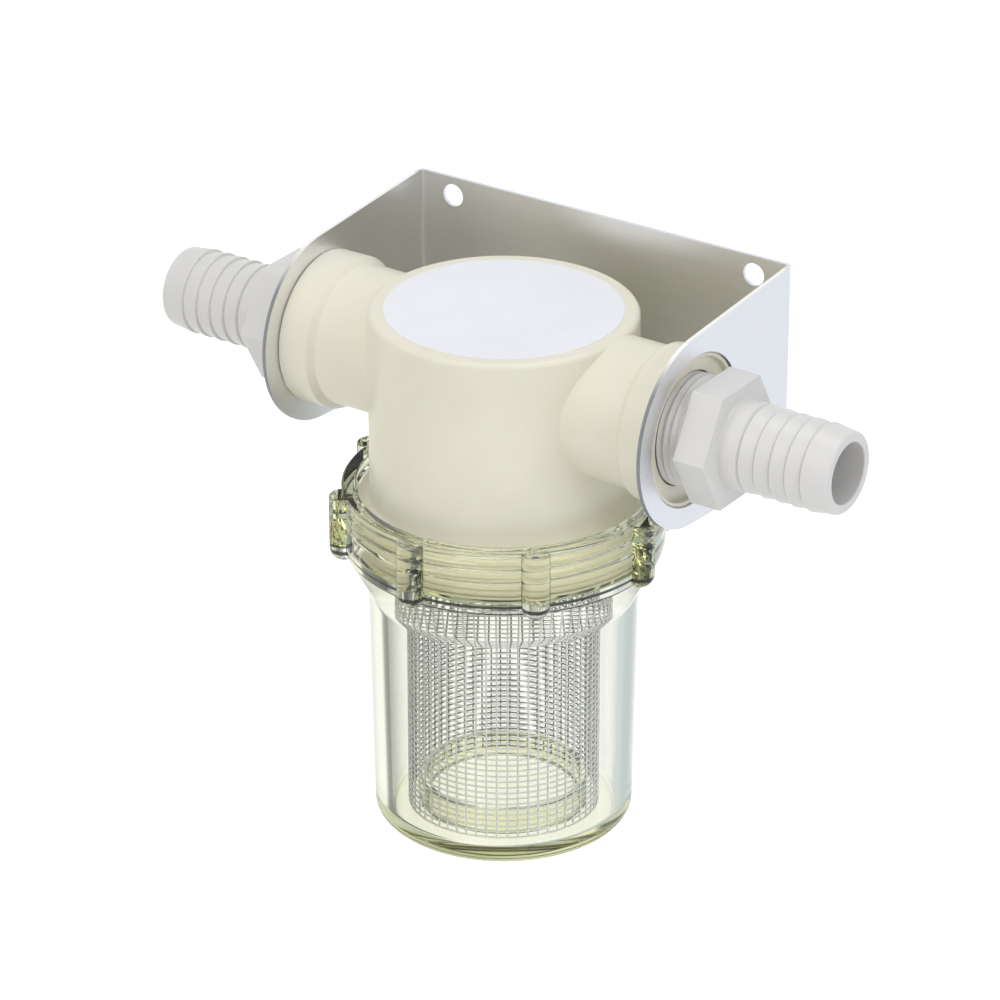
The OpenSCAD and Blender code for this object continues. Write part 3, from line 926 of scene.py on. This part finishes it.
def woven_tube():
    """Plain weave: hoops and uprights pass in front of and behind each other by turns."""
    tree, given, out = group("woven tube", "GeometryNodeTree", {
        "Radius": (FLOAT, 1.0), "Low": (FLOAT, 0.0), "High": (FLOAT, 1.0), "Uprights": (WHOLE, 8),
        "Hoops": (WHOLE, 8), "Wire": (FLOAT, 0.1), "Weave": (FLOAT, 0.1), "Finish": (FINISH, None)},
        {"Geometry": SHAPE})
    low, high = given["Low"], given["High"]
    gaps = maths(tree, "SUBTRACT", given["Hoops"], 1.0)
    pitch = maths(tree, "DIVIDE", maths(tree, "SUBTRACT", high, low), gaps)
    x, y, z = split(tree, node(tree, "GeometryNodeInputPosition").outputs[0])
    angle = maths(tree, "ARCTAN2", y, x)
    across = times(tree, given["Uprights"], 0.5, angle)
    up = times(tree, maths(tree, "DIVIDE", maths(tree, "SUBTRACT", z, low), pitch), math.pi)
    swing = times(tree, maths(tree, "COSINE", maths(tree, "ADD", across, up)), given["Weave"])

    def swung(curves, way):
        """Round wires along curves, pushed in and out by the swing."""
        reach = times(tree, swing, way)
        push = node(tree, "ShaderNodeCombineXYZ", {
            0: times(tree, maths(tree, "COSINE", angle), reach),
            1: times(tree, maths(tree, "SINE", angle), reach)})
        pushed = node(tree, "GeometryNodeSetPosition", {"Geometry": curves, "Offset": push.outputs[0]})
        section = node(tree, "GeometryNodeCurvePrimitiveCircle", {"Resolution": 5, "Radius": given["Wire"]})
        return node(tree, "GeometryNodeCurveToMesh", {
            "Curve": pushed.outputs[0], "Profile Curve": section.outputs[0], "Fill Caps": True}).outputs[0]

    def point_at(height):
        return node(tree, "ShaderNodeCombineXYZ", {2: height}).outputs[0]

    levels = node(tree, "GeometryNodeMeshLine", {
        "Count": given["Hoops"], "Start Location": point_at(low), "Offset": point_at(pitch)})
    hoop = node(tree, "GeometryNodeCurvePrimitiveCircle", {
        "Resolution": times(tree, given["Uprights"], 2.0), "Radius": given["Radius"]})
    posts = node(tree, "GeometryNodeMeshCircle", {"Vertices": given["Uprights"], "Radius": given["Radius"]})
    line = node(tree, "GeometryNodeCurvePrimitiveLine", {"Start": point_at(low), "End": point_at(high)})
    rows = node(tree, "GeometryNodeResampleCurve", {
        "Curve": line.outputs[0], "Count": maths(tree, "MULTIPLY_ADD", gaps, 2.0, 1.0)})
    wires = []
    for spots, wire, way in ((levels, hoop, 1.0), (posts, rows, -1.0)):
        copies = node(tree, "GeometryNodeInstanceOnPoints", {
            "Points": spots.outputs[0], "Instance": wire.outputs[0]})
        plain = node(tree, "GeometryNodeRealizeInstances", {0: copies.outputs[0]})
        wires.append(swung(plain.outputs[0], way))
    joined = node(tree, "GeometryNodeJoinGeometry")
    for wire in wires:
        tree.links.new(wire, joined.inputs[0])
    smooth = node(tree, "GeometryNodeSetShadeSmooth", {"Geometry": joined.outputs[0]})
    put_out(tree, smooth.outputs[0], given["Finish"], out)
    return tree


def grown(name, tree, **values):
    """Runs a Geometry Nodes tree with the given inputs and keeps its result as plain mesh."""
    made = linked(name, bpy.data.meshes.new(name))
    step = made.modifiers.new(name, "NODES")
    step.node_group = tree
    sockets = {s.name: s.identifier for s in tree.interface.items_tree if s.in_out == "INPUT"}
    for label, value in values.items():
        step[sockets[label]] = value
    return applied(made)


def woven_screen():
    low, high = SCREEN_LOW.z + WIRE_R, SCREEN_HIGH.z - WIRE_R
    made = grown("woven_screen", woven_tube(), Radius=(SCREEN_R - WIRE_R - WEAVE) * MM, Low=low * MM,
                 High=high * MM, Uprights=UPRIGHTS, Hoops=round((high - low) / HOOP_PITCH) + 1,
                 Wire=WIRE_R * MM, Weave=WEAVE * MM, Finish=WIRE_STEEL)
    return outwards(to_head(made))


finished(woven_screen(), WIRE_STEEL, "screen_tube", "screen")


# ---------------------------------------------------------------- bowl

def lug_ring():
    """Copies of one lug on a circle."""
    tree, given, out = group("lug ring", "GeometryNodeTree", {
        "Lug": ("NodeSocketObject", None), "Radius": (FLOAT, 1.0), "Lugs": (WHOLE, 8),
        "Finish": (FINISH, None)}, {"Geometry": SHAPE})
    spots = node(tree, "GeometryNodeMeshCircle", {"Vertices": given["Lugs"], "Radius": given["Radius"]})
    lug = node(tree, "GeometryNodeObjectInfo", {"Object": given["Lug"]})
    lugs = node(tree, "GeometryNodeInstanceOnPoints", {
        "Points": spots.outputs[0], "Instance": lug.outputs["Geometry"]})
    put_out(tree, lugs.outputs[0], given["Finish"], out)
    return tree


def grip_lugs():
    """Round-ended lugs, which end just under the rim."""
    top = BOWL_RIM - 0.02
    profile = rounded([(0, LUG_FOOT, 0), (LUG_R, LUG_FOOT, LUG_R - 0.01), (LUG_R, top, 0.6), (0, top, 0)], 8)
    lug = turned("one_lug", held(profile), 64)
    made = grown("grip_lugs", lug_ring(), Lug=lug, Radius=BOWL_COLLAR_R * MM, Lugs=LUGS, Finish=CLEAR)
    bpy.data.objects.remove(lug)
    return outwards(made)


def clear_bowl():
    """Threaded collar with its step and lugs, cone, cup and the raised ring on the floor."""
    waist = STEP_FOOT - CONE_H
    ledge = SKIRT_FOOT - 1
    ring_in = RING_R - RING_WALL
    profile = rounded([
        (0, BOWL_FOOT, 0), (BOWL_FOOT_R, BOWL_FOOT, 4), (BOWL_R, waist, 5), (STEP_R, STEP_FOOT, 1.0),
        (STEP_R, BOWL_COLLAR_FOOT - BOWL_COLLAR_BEVEL, 0.2), (BOWL_COLLAR_R, BOWL_COLLAR_FOOT, 0.3),
        (BOWL_COLLAR_R, BOWL_RIM, 0.7), (MOUTH_R, BOWL_RIM, 0.5), (MOUTH_R, ledge, 0.6),
        (INNER_R, ledge, 0.8), (INNER_FOOT_R, FLOOR, 1.4), (RING_R, FLOOR, 0.5),
        (RING_R, RING_TOP, 0.5), (ring_in, RING_TOP, 0.5), (ring_in, FLOOR, 0.5), (0, FLOOR, 0)], 8)
    section = [(along, -depth) for along, depth in BOWL_THREAD]
    thread = Thread(MOUTH_R, GROOVE_HIGH + 1.6, BOWL_RIM - 1, BOWL_PITCH, BOWL_THREAD_FADE, section)
    body = turned("clear_bowl", held(profile), 288, thread)
    combined(body, "UNION", [grip_lugs()])
    return softened(to_head(body), 32, weighted=False)


finished(clear_bowl(), CLEAR, "bowl_cup", "bowl")


# ---------------------------------------------------------------- studio

# Brightness of sky and floor as the camera sees them and as they light the part, and as metal and glass
# see both
SKY_SEEN, SKY_LIGHT = 1.0, 0.5
FLOOR_SEEN, FLOOR_LIGHT = 0.55, 0.12
MIRRORED = 1.08

# In metres
FLOOR_Z, FLOOR_HALF = -0.26, 6.0
LAMPS_AIM_Z = -0.04

# What metal, straight rays through glass and rays thrown back inside it see, from right to left
CAMERA_RIGHT = (0.83, 0.56, 0)
METAL_SEES = [(-0.8, "ECF0F7"), (-0.2, "FAFBFD"), (0.2, "FFFEF6"), (0.8, "F0ECDA")]
GLASS_SEES = [(-0.65, "E0E3DE"), (-0.4, "F6F8F5"), (-0.25, "FFFFFF"), (0.2, "FEFFFA"), (0.3, "EEF0E8"),
              (0.42, "D0D3CA"), (0.52, "B8BBB4"), (0.61, "70746F")]
WALL_SEES = [(-0.65, "CCD3D4"), (-0.5, "B6BFC4"), (-0.35, "A6B0B7"), (-0.15, "AAB4BB"), (0.1, "DDE1E1"),
             (0.35, "FAFCF8"), (0.53, "F4F6F0"), (0.57, "B4B7B3"), (0.61, "6A6E6B"), (0.8, "585C60")]
CEILING = "C4C7B0"


def horizon(tree, across, stops):
    """Colour by direction, from -1 at the camera's right to 1 at its left."""
    ramp = node(tree, "ShaderNodeValToRGB", {0: maths(tree, "MULTIPLY_ADD", across, 0.5, 0.5)})
    points = ramp.color_ramp.elements
    for place, _ in stops[2:]:
        points.new(0.5 + place / 2)
    for point, (place, shade) in zip(points, stops):
        point.position = 0.5 + place / 2
        point.color = paint(shade)
    return ramp.outputs["Color"]


def surroundings(tree, direct, lit):
    """Colour and strength of what lies round the part, by the kind of ray that meets it.

    Metal mirrors a cool white on the right and a warmer one on the left. Rays through the bowl see white
    behind the part and a dark edge far left. Those thrown back inside its wall see a cooler room with a
    pale olive ceiling. For all others it is plain white: the camera sees it as bright as direct says, and
    it lights the part as brightly as lit says.
    """
    ray = node(tree, "ShaderNodeLightPath").outputs
    through = ray["Is Transmission Ray"]
    mirrored = maths(tree, "MAXIMUM", ray["Is Glossy Ray"], through)
    back = node(tree, "ShaderNodeNewGeometry").outputs["Incoming"]
    across = vector_maths(tree, "DOT_PRODUCT", back, CAMERA_RIGHT)["Value"]
    climbing = share(tree, split(tree, back)[2], 0.0, -0.3)
    room = blend(tree, climbing, horizon(tree, across, WALL_SEES), paint(CEILING))
    thrown_back = maths(tree, "MINIMUM", ray["Glossy Depth"], 1.0)
    glass = blend(tree, thrown_back, horizon(tree, across, GLASS_SEES), room)
    seen = blend(tree, through, horizon(tree, across, METAL_SEES), glass)
    tone = blend(tree, mirrored, (1, 1, 1, 1), seen)
    plain = maths(tree, "MULTIPLY_ADD", ray["Is Camera Ray"], direct - lit, lit)
    strength = node(tree, "ShaderNodeMix", {0: mirrored, 2: plain, 3: MIRRORED}).outputs[0]
    return tone, strength, mirrored


def studio_floor():
    """Wide matt floor. In metal and glass only its glow is seen, without lamplight or shadows."""
    corners = [(x * FLOOR_HALF / MM, y * FLOOR_HALF / MM, FLOOR_Z / MM)
               for x, y in ((-1, -1), (1, -1), (1, 1), (-1, 1))]
    made = object_from("floor", corners, [(0, 1, 2, 3)])
    finish, tree, shader = material("pale floor")
    colour, strength, mirrored = surroundings(tree, FLOOR_SEEN, FLOOR_LIGHT)
    matt = blend(tree, mirrored, (0.86, 0.86, 0.86, 1), (0, 0, 0, 1))
    tree.links.new(matt, shader.inputs["Base Color"])
    fill(shader.inputs, {"Roughness": 1.0, "Specular IOR Level": 0.0})
    tree.links.new(colour, shader.inputs["Emission Color"])
    tree.links.new(strength, shader.inputs["Emission Strength"])
    made.data.materials.append(finish)


def studio_world():
    world = bpy.data.worlds.new("studio")
    bpy.context.scene.world = world
    world.use_nodes = True
    tree = world.node_tree
    colour, strength, _ = surroundings(tree, SKY_SEEN, SKY_LIGHT)
    tree.links.new(colour, tree.nodes["Background"].inputs["Color"])
    tree.links.new(strength, tree.nodes["Background"].inputs["Strength"])


def soft_lamp(name, place, size, power, mirrored=True):
    """A soft box that is aimed at the part. One that isn't mirrored leaves no bright spot on it."""
    lamp = bpy.data.lights.new(name, "AREA")
    lamp.shape = "RECTANGLE"
    lamp.size, lamp.size_y = size
    lamp.energy = power
    made = aimed(linked(name, lamp), place, (0, AXIS_Y * MM, LAMPS_AIM_Z))
    made.visible_glossy = mirrored


studio_floor()
studio_world()
soft_lamp("key lamp", (-0.35, -1.1, 0.85), (0.8, 0.8), 5.4, mirrored=False)
soft_lamp("side lamp", (1.2, -0.35, 0.45), (0.6, 0.9), 4.0, mirrored=False)
soft_lamp("top lamp", (0.1, 0.1, 1.2), (0.9, 0.7), 3.8)

bpy.context.scene.view_settings.view_transform = "Standard"
bpy.context.scene.cycles.max_bounces = 24
bpy.context.scene.cycles.glossy_bounces = 10
bpy.context.scene.cycles.transmission_bounces = 20
